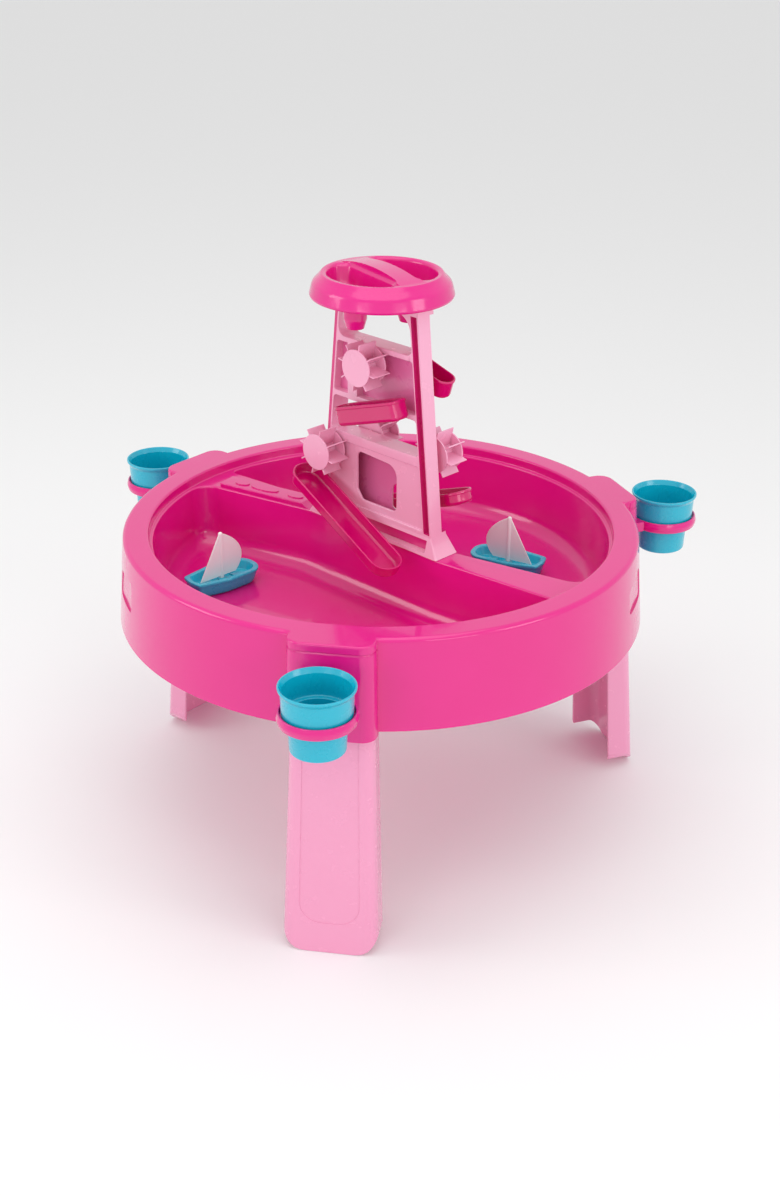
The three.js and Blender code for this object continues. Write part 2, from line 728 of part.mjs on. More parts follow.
function sail() {
  const foot = FLOOR_TOP + GAP + BOAT.deck + 5;
  const top = foot + SAIL.height;
  const cloth = new THREE.Shape();
  cloth.moveTo(SAIL.jib, foot - 1);
  cloth.lineTo(2, top - 2);
  cloth.lineTo(-2, top - 2);
  cloth.bezierCurveTo(-SAIL.main * 1.25, top - 20, -SAIL.main * 1.3, foot + 18, -SAIL.main * 0.72, foot + 1);
  const settings = { depth: SAIL.sheet, bevelEnabled: false, curveSegments: 10 };
  const sheet = new THREE.ExtrudeGeometry(cloth, settings);
  const plate = solid(sheet.rotateX(Math.PI / 2).translate(0, SAIL.sheet / 2, 0));
  const mast = cylinderZ(SAIL.mast, foot - 5 - SAIL.peg + GAP, top, 16);
  return plate.add(mast);
}

// ---------------------------------------------------------------- the assembly
add("basin", basin(), PLASTIC.hot);
for (const [place, angle] of Object.entries(LEG_ANGLES)) {
  add(`leg_${place}`, leg().rotate([0, 0, angle]), PLASTIC.pale, 0.35);
  for (const [name, shape, colour] of [
    ["cup_ring", cupRing(), PLASTIC.hot],
    ["cup", cup(), PLASTIC.cup],
  ]) {
    const mesh = add(`${name}_${place}`, shape, colour);
    mesh.position.set(CUP_REACH * Math.cos(radians(angle)), CUP_REACH * Math.sin(radians(angle)), 0);
    mesh.rotation.z = radians(angle);
  }
}
add("tower_frame", towerFrame(), PLASTIC.light);
for (const wheel of WHEELS) {
  add(`wheel_${wheel.name}`, paddleWheel(wheel), PLASTIC.light).position.set(wheel.x, 0, wheel.z);
  add(`axle_${wheel.name}`, axlePin(wheel), PLASTIC.light).position.set(wheel.x, 0, wheel.z);
}
add("funnel_dish", funnelDish(), PLASTIC.hot);
for (const chute of CHUTES) {
  add(`upper_chute_${chute.name}`, upperChute(chute), PLASTIC.deep);
}
add("slide_front", slide(0), PLASTIC.deep);
add("slide_back", slide(180), PLASTIC.deep);
for (const boat of BOATS) {
  for (const [name, shape, colour] of [
    ["boat_hull", hull(), PLASTIC.cup],
    ["boat_sail", sail(), PLASTIC.sail],
  ]) {
    const mesh = add(`${name}_${boat.name}`, shape, colour);
    mesh.position.set(boat.x, boat.y, 0);
    mesh.rotation.z = radians(boat.heading);
  }
}

const middle = new THREE.Box3().setFromObject(group, true).getCenter(new THREE.Vector3());
group.position.set(-middle.x, -middle.y, 0);
const table = new THREE.Group();
table.add(group);

export default table;
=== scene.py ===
import json
import math

import bmesh
import bpy
from mathutils import Matrix, Vector


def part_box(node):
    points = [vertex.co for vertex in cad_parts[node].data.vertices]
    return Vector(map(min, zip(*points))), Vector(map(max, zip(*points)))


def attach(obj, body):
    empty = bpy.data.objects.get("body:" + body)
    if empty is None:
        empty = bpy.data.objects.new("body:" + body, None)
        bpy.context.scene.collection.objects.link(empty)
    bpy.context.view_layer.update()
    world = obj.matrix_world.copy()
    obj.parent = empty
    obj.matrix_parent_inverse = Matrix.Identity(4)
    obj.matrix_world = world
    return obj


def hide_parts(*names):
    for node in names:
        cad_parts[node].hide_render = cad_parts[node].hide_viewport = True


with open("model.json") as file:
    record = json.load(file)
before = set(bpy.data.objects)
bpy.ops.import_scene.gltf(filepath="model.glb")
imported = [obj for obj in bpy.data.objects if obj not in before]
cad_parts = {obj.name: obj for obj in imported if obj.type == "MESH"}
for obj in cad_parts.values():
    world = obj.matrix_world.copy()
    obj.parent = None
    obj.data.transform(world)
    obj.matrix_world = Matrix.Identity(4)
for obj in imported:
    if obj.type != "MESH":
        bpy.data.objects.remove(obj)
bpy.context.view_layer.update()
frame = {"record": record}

# ---------------------------------------------------------------- driving dimensions
RIM_HEIGHT = 409
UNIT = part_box("basin")[1].z / RIM_HEIGHT  # metres in one drawing millimetre
JOINTS = frame["record"]["behaviour"]["joints"]
HINGES = {joint["name"]: Vector(joint["pos_m"]) for joint in JOINTS if joint["type"] == "hinge"}
AXIS = Vector((HINGES["wheel_front_upper_spin"].x, HINGES["wheel_front_upper_spin"].y, 0))

WALL = 3
GAP = 0.3
RIM_RADIUS = 330
RIM_WIDTH = 32
RIM_ROUND = 6
SKIRT_DEPTH = 115
SKIRT_FLARE = 10
LEDGE_WIDTH = 5
DIVIDER_TOP = RIM_HEIGHT - 13
DIVIDER_WIDTH = 36
FLOOR_TOP = DIVIDER_TOP - 82
BEND_X = 115
BLUNT_LEAN = 13.3
SHARP_LEAN = 6.2
BLUNT_CORNER = 26
SHARP_CORNER = 9
NOTCH_RADIUS = 2.6
NOTCH_DEPTH = 13
GRIP_ANGLES = (-118, 27)
GRIP_WIDTH = 66
GRIP_HEIGHT = 360
GRIP_TALL = 40
GRIP_SLANT = 8
GRIP_SINK = 2
POCKET_FILLET = 24
POCKET_DRAFT = 6
POCKET_EDGE = 2.5
ROUND_STEPS = 160

LEG_ANGLES = {"front": -55, "right": 65, "left": 185}
HOUSING_FACE = 351
HOUSING_FLARE = 8
HOUSING_WIDTH = 102
HOUSING_WIDEN = 6
HOUSING_CORNER = 18
HOUSING_INNER = 299.5
HOUSING_DROP = 3
GROOVE_DEPTH = 1.2

LEG_TOP = RIM_HEIGHT - 9
LEG_WALL = 4
LEG_CORNER = 16
LEG_FOOT = {"half": 59, "face": 368, "back": 326}
LEG_HEAD = {"half": 47, "face": 337, "back": 303}
FOOT_ROUND = 30
PANEL_FOOT = 40
PANEL_FOOT_HALF = 37
PANEL_HEAD_HALF = 31
PANEL_CORNER = 26
PANEL_SINK = 0.9

CUP_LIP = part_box("cup_front")[1].z / UNIT
CUP_HEIGHT = CUP_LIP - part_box("cup_front")[0].z / UNIT
CUP_REACH = 415
CUP_UPPER_DEPTH = 36
RING_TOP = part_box("cup_ring_front")[1].z / UNIT
RING_HEIGHT = 14
RING_OUTER = 46
RING_SEAT = 42
RING_BORE = 36.5
RING_NECK = 44

TOWER_FOOT = DIVIDER_TOP + GAP
TOWER_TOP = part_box("tower_frame")[1].z / UNIT
TOWER_HALF = 14
TOWER_SHEET = 3
BASE_HEIGHT = 24
BASE_HALF_LENGTH = 115
BASE_HALF_WIDTH = 20
POST_FOOT_X = 101
POST_TOP_X = 73
POST_WIDTH = 15
SHELF = 7
SHELF_LOW = 515
SHELF_MIDDLE = 568
SHELF_HIGH = 641
CHANNEL_DEPTH = 8
CHANNEL_FLANGE = 2.5
WEB_SINK = 3
STAY_FROM = -46
STAY_TO = -30
WINDOW = [(-24, 436, 6), (37, 436, 8), (37, 497, 16), (-33, 501, 8), (-33, 449, 6)]  # x, z and radius
BACK_NOTCH = [(12, 430, 4), (66, 430, 4), (66, 466, 4), (12, 466, 12)]

WHEEL_DISC = 23.5
WHEEL_PADDLE = 31
WHEEL_WIDTH = 30
WHEEL_SHEET = 2
WHEEL_HUB = 8
PADDLES = 8
WHEEL_NEAR = 16
AXLE_RADIUS = 3.5
AXLE_BORE = 4
BOSS_RADIUS = 9
WHEELS = {
    "front_upper": {"side": -1, "phase": -11},
    "front_lower": {"side": -1, "phase": -15},
    "back_right": {"side": 1, "phase": -12},
    "back_left": {"side": 1, "phase": -4},
}

DISH_BASE = 706
DISH_TOP = 738
DISH_RADIUS = 89
DISH_TOP_RADIUS = 75
BAR_WIDTH = 30
BAR_TURN = -13
BAR_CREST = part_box("funnel_dish")[1].z / UNIT
BAR_END = 737
DISH_CORNER = 14
SPOUT_PLACE = Vector((-12, -34, 0))
SPOUT_BOTTOM = 672
SPOUT_RADIUS = 14.5
SPOUT_TIP = 11
SPOUT_BORE = 7

CHUTE = {"width": 30, "depth": 25, "sheet": 2.5, "far": 8}
SLIDE = {"width": 44, "depth": 17, "sheet": 2.5, "far": 21}
CHUTE_NEAR = 16

BOAT_LENGTH = 104
BOAT_WIDTH = 52
BOAT_HEIGHT = 22
BOAT_DECK = 11
BOAT_LIP = 6
BOATS = {"front": (-150, -145, -95), "back": (82, 160, 18)}
SAIL_HEIGHT = 62
SAIL_SHEET = 2.4
MAST = 3


# ---------------------------------------------------------------- outlines
def rounded(corners, steps=6):
    """A polygon of (x, y, radius) corners, each rounded to its own radius."""
    points = []
    for i, (x, y, radius) in enumerate(corners):
        here = Vector((x, y))
        if not radius:
            points.append(here)
            continue
        following = corners[(i + 1) % len(corners)]
        before = (Vector(corners[i - 1][:2]) - here).normalized()
        after = (Vector(following[:2]) - here).normalized()
        half = before.angle(after) / 2
        centre = here + (before + after).normalized() * radius / math.sin(half)
        start = here + before * radius / math.tan(half) - centre
        end = here + after * radius / math.tan(half) - centre
        sweep = start.angle(end) * (1 if start.cross(end) > 0 else -1)
        for k in range(steps + 1):
            points.append(centre + Matrix.Rotation(sweep * k / steps, 2) @ start)
    return points


def counter_clockwise(points):
    area = sum(points[i - 1].cross(point) for i, point in enumerate(points))
    return points if area > 0 else points[::-1]


def grown(points, distance):
    """A counter-clockwise outline moved outwards by a distance."""
    result = []
    for i, here in enumerate(points):
        before = (here - points[i - 1]).normalized()
        after = (points[(i + 1) % len(points)] - here).normalized()
        side = Vector((after.y, -after.x))
        outwards = (Vector((before.y, -before.x)) + side).normalized()
        result.append(here + outwards * distance / max(0.4, outwards.dot(side)))
    return result


def at_height(points, z):
    return [(x, y, z) for x, y in points]


# ---------------------------------------------------------------- solids
def made(points, faces):
    """A closed mesh object with its normals outwards."""
    mesh = bpy.data.meshes.new("shape")
    mesh.from_pydata([tuple(point) for point in points], [], faces)
    edit = bmesh.new()
    edit.from_mesh(mesh)
    bmesh.ops.remove_doubles(edit, verts=edit.verts, dist=1e-3)
    bmesh.ops.recalc_face_normals(edit, faces=edit.faces)
    edit.to_mesh(mesh)
    edit.free()
    shape = bpy.data.objects.new("shape", mesh)
    bpy.context.scene.collection.objects.link(shape)
    return shape


def skin(rings, ring_closes=False):
    """A solid through rings of points; with ring_closes the last ring joins the first."""
    count = len(rings[0])
    points = [point for ring in rings for point in ring]
    faces = []
    levels = len(rings) if ring_closes else len(rings) - 1
    for level in range(levels):
        low = level * count
        high = (level + 1) % len(rings) * count
        for i in range(count):
            j = (i + 1) % count
            faces.append((low + i, low + j, high + j, high + i))
    if not ring_closes:
        faces.append(tuple(reversed(range(count))))
        faces.append(tuple(range(len(points) - count, len(points))))
    return made(points, faces)


def lathe(profile, steps=ROUND_STEPS):
    """A closed outline of (radius, height) points turned about Z."""
    rings = []
    for radius, height in profile:
        angles = [2 * math.pi * k / steps for k in range(steps)]
        rings.append([(radius * math.cos(a), radius * math.sin(a), height) for a in angles])
    return skin(rings, ring_closes=True)


def upright(points, low, high, edge=0.0):
    """An outline in X and Y between two heights, its edges softened."""
    points = counter_clockwise(points)
    if not edge:
        return skin([at_height(points, low), at_height(points, high)])
    small = grown(points, -edge)
    return skin([
        at_height(small, low), at_height(points, low + edge),
        at_height(points, high - edge), at_height(small, high),
    ])


def laid_over(shape):
    """A shape drawn with X and Y as X and Z, its height along -Y."""
    return moved_by(shape, Matrix.Rotation(math.pi / 2, 4, "X"))


def across(points, near, far, edge=0.0):
    """An outline in X and Z, given its thickness from y = near to y = far."""
    return laid_over(upright(points, -far, -near, edge))


def opening(points, near, far, edge=1.0):
    """A cutter for an outline in X and Z, flaring where it breaks the faces at near and far."""
    points = counter_clockwise(points)
    wide = grown(points, edge * 2)
    rings = [
        at_height(wide, -far - edge), at_height(points, -far + edge),
        at_height(points, -near - edge), at_height(wide, -near + edge),
    ]
    return laid_over(skin(rings))


def sunk(points, floor, face, edge=1.0):
    """A cutter for a pocket in X and Z from y = floor out to y = face, flaring where it opens."""
    points = counter_clockwise(points)
    out = edge if face > floor else -edge
    rings = [(points, floor), (points, face - out), (grown(points, edge * 2), face + out)]
    if out > 0:
        rings.reverse()
    return laid_over(skin([at_height(ring, -y) for ring, y in rings]))


def cylinder(radius, low, high, edge=0.0, steps=48):
    corners = [(0, low, 0), (radius, low, edge), (radius, high, edge), (0, high, 0)]
    return lathe(rounded(corners, 3), steps)


def cylinder_across(radius, near, far, x=0, z=0, edge=0.0, steps=48):
    shape = laid_over(cylinder(radius, -max(near, far), -min(near, far), edge, steps))
    return moved_by(shape, Matrix.Translation((x, 0, z)))


def block(low, high, edge=0.0):
    corners = [(low[0], low[1]), (high[0], low[1]), (high[0], high[1]), (low[0], high[1])]
    return upright([Vector(corner) for corner in corners], low[2], high[2], edge)


def moved_by(shape, matrix):
    shape.data.transform(matrix)
    return shape


def spun(shape, degrees, about="Z"):
    return moved_by(shape, Matrix.Rotation(math.radians(degrees), 4, about))


def combined(shape, others, operation):
    """Joins the others to a shape, or cuts them out of it, and removes them."""
    for other in others:
        step = shape.modifiers.new("step", "BOOLEAN")
        step.operation = operation
        step.solver = "MANIFOLD"
        step.object = other
    baked(shape)
    for other in others:
        bpy.data.objects.remove(other)
    return shape


def baked(shape):
    bpy.context.view_layer.update()
    graph = bpy.context.evaluated_depsgraph_get()
    mesh = bpy.data.meshes.new_from_object(shape.evaluated_get(graph))
    shape.modifiers.clear()
    shape.data = mesh
    return shape


def joined(shape, *others):
    return combined(shape, others, "UNION")


def cut(shape, *others):
    return combined(shape, others, "DIFFERENCE")


# ---------------------------------------------------------------- looks
def linear(colour):
    """Linear values of a colour given as it looks, 0 to 255."""
    return tuple((value / 255) ** 2.2 for value in colour)


def plastic(name, colour, shade, roughness=0.2, coat=0.5):
    """Moulded plastic: cloudy colour, fine orange peel and uneven gloss."""
    look = bpy.data.materials.new(name)
    look.use_nodes = True
    nodes = look.node_tree.nodes
    links = look.node_tree.links
    shader = nodes["Principled BSDF"]
    place = nodes.new("ShaderNodeTexCoord")

    def noise(scale, detail):
        node = nodes.new("ShaderNodeTexNoise")
        node.inputs["Scale"].default_value = scale
        node.inputs["Detail"].default_value = detail
        links.new(place.outputs["Object"], node.inputs["Vector"])
        return node.outputs["Fac"]

    def spread(value, low, high, to_low, to_high):
        node = nodes.new("ShaderNodeMapRange")
        node.inputs["From Min"].default_value = low
        node.inputs["From Max"].default_value = high
        node.inputs["To Min"].default_value = to_low
        node.inputs["To Max"].default_value = to_high
        links.new(value, node.inputs["Value"])
        return node.outputs["Result"]

    def mixed(factor, first, second):
        node = nodes.new("ShaderNodeMix")
        node.data_type = "RGBA"
        links.new(factor, node.inputs["Factor"])
        for socket, value in (("A", first), ("B", second)):
            entry = next(s for s in node.inputs if s.name == socket and s.type == "RGBA")
            if isinstance(value, tuple):
                entry.default_value = (*value, 1)
            else:
                links.new(value, entry)
        return next(s for s in node.outputs if s.type == "RGBA")

    cloud = spread(noise(9, 3), 0.35, 0.65, 0, 0.3)
    body_colour = mixed(cloud, linear(colour), linear(shade))
    links.new(body_colour, shader.inputs["Base Color"])
    links.new(spread(noise(60, 4), 0.3, 0.7, roughness - 0.04, roughness + 0.05), shader.inputs["Roughness"])
    bump = nodes.new("ShaderNodeBump")
    bump.inputs["Strength"].default_value = 0.08
    bump.inputs["Distance"].default_value = 0.0004
    links.new(noise(420, 2), bump.inputs["Height"])
    links.new(bump.outputs["Normal"], shader.inputs["Normal"])
    shader.inputs["Coat Weight"].default_value = coat
    shader.inputs["Coat Roughness"].default_value = 0.04
    return look


HOT_PINK = plastic("hot_pink", (226, 24, 134), (218, 14, 124))
DEEP_PINK = plastic("deep_pink", (210, 2, 108), (198, 0, 96))
PALE_PINK = plastic("pale_pink", (240, 156, 192), (236, 148, 186), 0.24)
LIGHT_PINK = plastic("light_pink", (246, 176, 206), (243, 168, 200), 0.24)
# Painted shade: a deeper pink given to the tower's post channels and the base's recess, where shade falls.
RECESS_SHADE_PINK = plastic("recess_painted_shade", (222, 48, 132), (214, 38, 124), 0.3)
# Painted shade: a mid pink given to the tower's sunken webs, where shade falls.
WEB_SHADE_PINK = plastic("web_painted_shade", (232, 118, 172), (226, 104, 162), 0.3)
TURQUOISE = plastic("turquoise", (12, 180, 206), (2, 170, 198), 0.26)
WHITE = plastic("white", (240, 243, 241), (232, 236, 234), 0.32, 0.15)
LOOKS = {
    "hot_pink": HOT_PINK, "deep_pink": DEEP_PINK, "pale_pink": PALE_PINK,
    "light_pink": LIGHT_PINK, "turquoise": TURQUOISE, "white": WHITE,
}


# ---------------------------------------------------------------- from drawing to frame
def piece(shape, name, body, slot, node=None, more_looks=()):
    """Takes a drawn shape to its place in the frame, where it stands for a CAD node."""
    shape.name = name
    moved_by(shape, Matrix.Translation(AXIS) @ Matrix.Scale(UNIT, 4))
    shape.data.shade_smooth()
    shape.data.set_sharp_from_angle(angle=math.radians(50))
    shape.data.materials.clear()
    for look in (LOOKS[slot], *more_looks):
        shape.data.materials.append(look)
    normals = shape.modifiers.new("normals", "WEIGHTED_NORMAL")
    normals.keep_sharp = True
    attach(shape, body)
    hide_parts(node or name.removesuffix("_skin"))
    return shape


# ---------------------------------------------------------------- basin
def arc(middle, radius, start, end, steps):
    """Points round part of a circle, without the last."""
    angles = [start + (end - start) * k / steps for k in range(steps)]
    return [middle + Vector((math.cos(a), math.sin(a))) * radius for a in angles]


def pocket_outline(inset):
    """Plan of the compartment on the -Y side. Its edge on the divider runs along X in the middle
    and swings towards -Y at the blunt end and towards +Y at the sharp end."""
    radius = RIM_RADIUS - RIM_WIDTH - LEDGE_WIDTH - inset
    edge = DIVIDER_WIDTH / 2 + inset
    ends = []
    for side, degrees, corner in ((-1, BLUNT_LEAN, BLUNT_CORNER), (1, SHARP_LEAN, SHARP_CORNER)):
        lean = math.radians(degrees)
        along = Vector((math.cos(lean), math.sin(lean)))
        inwards = Vector((along.y, -along.x))
        distance = inwards.dot(Vector((side * BEND_X, -DIVIDER_WIDTH / 2))) + inset
        reach = math.sqrt((radius - corner) ** 2 - (distance + corner) ** 2)
        middle = inwards * (distance + corner) + along * side * reach
        bend = Vector(((distance + inwards.y * edge) / inwards.x, -edge))
        ends.append((middle, corner, lean, bend, math.atan2(middle.y, middle.x)))
    blunt, sharp = ends
    quarter = math.pi / 2
    points = arc(Vector((0, 0)), radius, blunt[4], sharp[4], 90)
    points += arc(sharp[0], sharp[1], sharp[4], quarter + sharp[2], 14)
    points.append(sharp[0] + Vector((-math.sin(sharp[2]), math.cos(sharp[2]))) * sharp[1])
    points += [sharp[3], blunt[3]]
    points += arc(blunt[0], blunt[1], quarter + blunt[2], 2 * math.pi + blunt[4], 14)
    return points


def compartment(grow=0):
    """The hollow for sand or water on the -Y side, grown outwards for the basin's underside."""
    rings = []
    quarter = 8
    for k in range(quarter, -1, -1):
        angle = math.pi / 2 * k / quarter
        inset = POCKET_DRAFT + POCKET_FILLET * (1 - math.cos(angle))
        height = FLOOR_TOP - grow + POCKET_FILLET * (1 - math.sin(angle))
        rings.append(at_height(pocket_outline(inset - grow), height))
    if grow:
        rings.append(at_height(pocket_outline(-grow), DIVIDER_TOP + 1))
        return skin(rings)
    eased = 4
    for k in range(eased + 1):
        angle = math.pi / 2 * k / eased
        out = POCKET_EDGE * (1 - math.cos(angle))
        rings.append(at_height(pocket_outline(-out), DIVIDER_TOP - POCKET_EDGE * (1 - math.sin(angle))))
    rings.append(at_height(pocket_outline(-POCKET_EDGE), DIVIDER_TOP + 1))
    return skin(rings)


def housing(inset=0):
    """A leg housing on +X with a groove below its top, or the socket inside it."""
    def outline(t, less=0.0):
        half = (HOUSING_WIDTH + HOUSING_WIDEN * t) / 2 - inset - less
        face = HOUSING_FACE + HOUSING_FLARE * t - inset - less
        corner = HOUSING_CORNER - inset - less
        return rounded([
            (HOUSING_INNER, -half, 0), (face, -half, corner), (face, half, corner), (HOUSING_INNER, half, 0),
        ])

    foot = RIM_HEIGHT - SKIRT_DEPTH - HOUSING_DROP
    if inset:
        return skin([at_height(outline(1), foot - 10), at_height(outline(0), RIM_HEIGHT - WALL - 2)])
    tall = RIM_HEIGHT - foot
    rings = [at_height(outline(1), foot)]
    groove = ((13, 0), (12, GROOVE_DEPTH), (10.4, GROOVE_DEPTH), (9.4, 0))
    top_edge = ((2.6, 0), (0.8, 0.8), (0, 2.8))
    for drop, depth in (*groove, *top_edge):
        rings.append(at_height(outline(drop / tall, depth), RIM_HEIGHT - drop))
    return skin(rings)


def basin():
    skirt_foot = RIM_HEIGHT - SKIRT_DEPTH
    foot = RIM_RADIUS + SKIRT_FLARE
    inner = RIM_RADIUS - RIM_WIDTH
    whole = lathe(rounded([
        (0, skirt_foot, 0), (foot, skirt_foot, 1.2), (RIM_RADIUS + 0.8, RIM_HEIGHT, RIM_ROUND),
        (inner, RIM_HEIGHT, 3), (inner, DIVIDER_TOP, 2), (0, DIVIDER_TOP, 0),
    ]))
    underside = lathe(rounded([
        (0, skirt_foot - 10, 0), (foot - WALL, skirt_foot - 10, 0), (foot - WALL, skirt_foot, 0),
        (RIM_RADIUS + 1 - WALL, RIM_HEIGHT - WALL, 5), (inner + WALL, RIM_HEIGHT - WALL, 0),
        (inner + WALL, DIVIDER_TOP - WALL, 0), (0, DIVIDER_TOP - WALL, 0),
    ]))
    shell = cut(underside, compartment(WALL), spun(compartment(WALL), 180))
    for angle in LEG_ANGLES.values():
        whole = joined(whole, spun(housing(), angle))
    whole = cut(whole, shell)
    for angle in LEG_ANGLES.values():
        whole = cut(whole, spun(housing(WALL), angle))
    for angle in LEG_ANGLES.values():
        for side in (1, -1):
            place = Matrix.Translation((RIM_RADIUS + 3, side * (HOUSING_WIDTH / 2 + 1.5), 0))
            notch = moved_by(cylinder(NOTCH_RADIUS, RIM_HEIGHT - NOTCH_DEPTH, RIM_HEIGHT + 1, 0, 24), place)
            whole = cut(whole, spun(notch, angle))
    for angle in GRIP_ANGLES:
        whole = cut(whole, spun(grip(), angle))
    whole = cut(whole, compartment(), spun(compartment(), 180))
    return joined(whole, *plateau())


def grip():
    """A cutter on +X for a shallow hand grip that follows the skirt's lean, its upper edge slanted."""
    half = GRIP_WIDTH / 2
    rise = GRIP_TALL / 2
    outline = rounded([(-half, -rise, 6), (half, -rise, 6), (half, rise, 8), (-half, rise - GRIP_SLANT, 8)])
    lean = math.atan(SKIRT_FLARE / SKIRT_DEPTH)
    out = RIM_RADIUS + SKIRT_FLARE * (RIM_HEIGHT - GRIP_HEIGHT) / SKIRT_DEPTH
    place = Matrix.Translation((0, -out, GRIP_HEIGHT)) @ Matrix.Rotation(-lean, 4, "X")
    return spun(moved_by(sunk(outline, GRIP_SINK, -SKIRT_FLARE, 0.5), place), 90)


PLATEAU_FROM = -268
PLATEAU_TO = -134
PLATEAU_HEIGHT = 6
PLATEAU_WIDTH = 31
PADS = ((-241, 11, 7), (-204, 22, 8), (-154, 12, 6.5))


def plateau():
    """The raised seat on the divider beside the tower, with three low oval pads on it."""
    top = DIVIDER_TOP + PLATEAU_HEIGHT
    seat = across(rounded([
        (PLATEAU_FROM, DIVIDER_TOP - 1, 0), (PLATEAU_TO + 12, DIVIDER_TOP - 1, 0),
        (PLATEAU_TO, top, 2), (PLATEAU_FROM, top, 0),
    ]), -PLATEAU_WIDTH / 2, PLATEAU_WIDTH / 2, 1)
    shapes = [seat]
    for x, half_length, half_width in PADS:
        pad = cylinder(1, top - 1, top + 1.4, 0, 40)
        moved_by(pad, Matrix.Translation((x, 0, 0)) @ Matrix.Diagonal((half_length, half_width, 1, 1)))
        shapes.append(pad)
    bend = Matrix.Translation((-BEND_X, 0, 0))
    swing = bend @ Matrix.Rotation(math.radians(BLUNT_LEAN), 4, "Z") @ bend.inverted()
    return [moved_by(shape, swing) for shape in shapes]


# ---------------------------------------------------------------- legs
def leg_section(height):
    t = height / LEG_TOP
    half, face, back = (
        LEG_FOOT[key] + (LEG_HEAD[key] - LEG_FOOT[key]) * t for key in ("half", "face", "back")
    )
    inner = LEG_CORNER - LEG_WALL
    return at_height(rounded([
        (back, -half, 1.5), (face, -half, LEG_CORNER), (face, half, LEG_CORNER), (back, half, 1.5),
        (back, half - LEG_WALL, 1.5), (face - LEG_WALL, half - LEG_WALL, inner),
        (face - LEG_WALL, -half + LEG_WALL, inner), (back, -half + LEG_WALL, 1.5),
    ]), height)


def sloped_with_face(shape):
    """Shears an upright shape so that it leans with a leg's face."""
    shear = Matrix.Identity(4)
    shear[0][2] = (LEG_HEAD["face"] - LEG_FOOT["face"]) / LEG_TOP
    return moved_by(shape, shear)


def leg():
    channel = skin([leg_section(0), leg_section(LEG_TOP)])
    half = LEG_FOOT["half"]
    above = LEG_TOP + 5
    outline = rounded([
        (-half, 0, FOOT_ROUND), (half, 0, FOOT_ROUND), (half, above, 0), (-half, above, 0),
    ], 12)
    front = spun(across(outline, -LEG_FOOT["face"] - 10, -LEG_HEAD["back"] + 30), 90)
    channel = combined(channel, [front], "INTERSECT")
    panel = rounded([
        (-PANEL_FOOT_HALF, PANEL_FOOT, PANEL_CORNER), (PANEL_FOOT_HALF, PANEL_FOOT, PANEL_CORNER),
        (PANEL_HEAD_HALF, above, 0), (-PANEL_HEAD_HALF, above, 0),
    ], 10)
    face = LEG_FOOT["face"]
    inset = sloped_with_face(spun(sunk(panel, -face + PANEL_SINK, -face, 0.4), 90))
    return cut(channel, inset)


# ---------------------------------------------------------------- cups and rings
def cup():
    foot = CUP_LIP - CUP_HEIGHT
    shoulder = CUP_LIP - CUP_UPPER_DEPTH + GAP
    return lathe(rounded([
        (0, foot + 1.5, 0), (26, foot + 1.5, 0), (27, foot, 0.4), (32, foot, 3), (34, shoulder, 1),
        (40, shoulder, 1.5), (41, CUP_LIP - 7, 3), (44, CUP_LIP - 2.5, 0.8), (44, CUP_LIP, 0.8),
        (42, CUP_LIP, 0.6), (39, CUP_LIP - 6, 3), (38, shoulder + 2, 1.5), (32, shoulder + 2, 1),
        (30, foot + 2.5, 4), (0, foot + 2.5, 0),
    ], 4), 96)


def cup_ring():
    low = RING_TOP - RING_HEIGHT
    middle = low + RING_HEIGHT / 2
    band = lathe(rounded([
        (RING_BORE, low, 1), (RING_OUTER - 2, low, 2), (RING_OUTER, middle, 8),
        (RING_OUTER - 2, RING_TOP, 1.2),
        (RING_SEAT, RING_TOP, 0.8), (RING_SEAT, RING_TOP - 5, 0.5), (RING_BORE, RING_TOP - 5, 0.5),
    ], 4), 96)
    face = HOUSING_FACE + HOUSING_FLARE * (RIM_HEIGHT - low) / (SKIRT_DEPTH + HOUSING_DROP)
    reach = CUP_REACH - face - GAP
    neck = block((-reach, -RING_NECK / 2, low), (-RING_SEAT + 1.5, RING_NECK / 2, RING_TOP), 1)
    neck = cut(neck, cylinder(RING_SEAT + 0.5, low - 5, RING_TOP + 5, 0, 96))
    return joined(band, neck)


# ---------------------------------------------------------------- water tower
def post_x(z):
    """Outer line of a post at a height."""
    foot = TOWER_FOOT + BASE_HEIGHT
    return POST_FOOT_X + (POST_TOP_X - POST_FOOT_X) * (z - foot) / (TOWER_TOP - foot)


def between_posts(low, high, inset, corner=0.0):
    return rounded([
        (-post_x(low) + inset, low, corner), (post_x(low) - inset, low, corner),
        (post_x(high) - inset, high, corner), (-post_x(high) + inset, high, corner),
    ])


def tower_base():
    def ring(half_length, half_width, z):
        corner = 2
        return at_height(rounded([
            (-half_length, -half_width, corner), (half_length, -half_width, corner),
            (half_length, half_width, corner), (-half_length, half_width, corner),
        ], 3), z)

    top = TOWER_FOOT + BASE_HEIGHT
    shape = skin([ring(BASE_HALF_LENGTH, BASE_HALF_WIDTH, TOWER_FOOT), ring(POST_FOOT_X, TOWER_HALF, top)])
    lip = 4
    end = POST_FOOT_X - 6
    deep = TOWER_HALF - 5
    for side in (1, -1):
        near, far = sorted((side * deep, side * (BASE_HALF_WIDTH + 1)))
        shape = cut(shape, block((-end, near, TOWER_FOOT + lip), (end, far, top - lip)))
    return shape


def post_channel(side, face):
    """A shallow channel down one face of a post. On the side that the slide leaves it has no outer flange."""
    low = TOWER_FOOT + BASE_HEIGHT + 3
    high = TOWER_TOP - SHELF
    outer = -1 if side == face else CHANNEL_FLANGE
    inner = POST_WIDTH - CHANNEL_FLANGE
    points = [
        Vector((side * (post_x(low) - outer), low)), Vector((side * (post_x(high) - outer), high)),
        Vector((side * (post_x(high) - inner), high)), Vector((side * (post_x(low) - inner), low)),
    ]
    near, far = sorted((face * (TOWER_HALF - CHANNEL_DEPTH), face * (TOWER_HALF + 1)))
    return across(points, near, far)


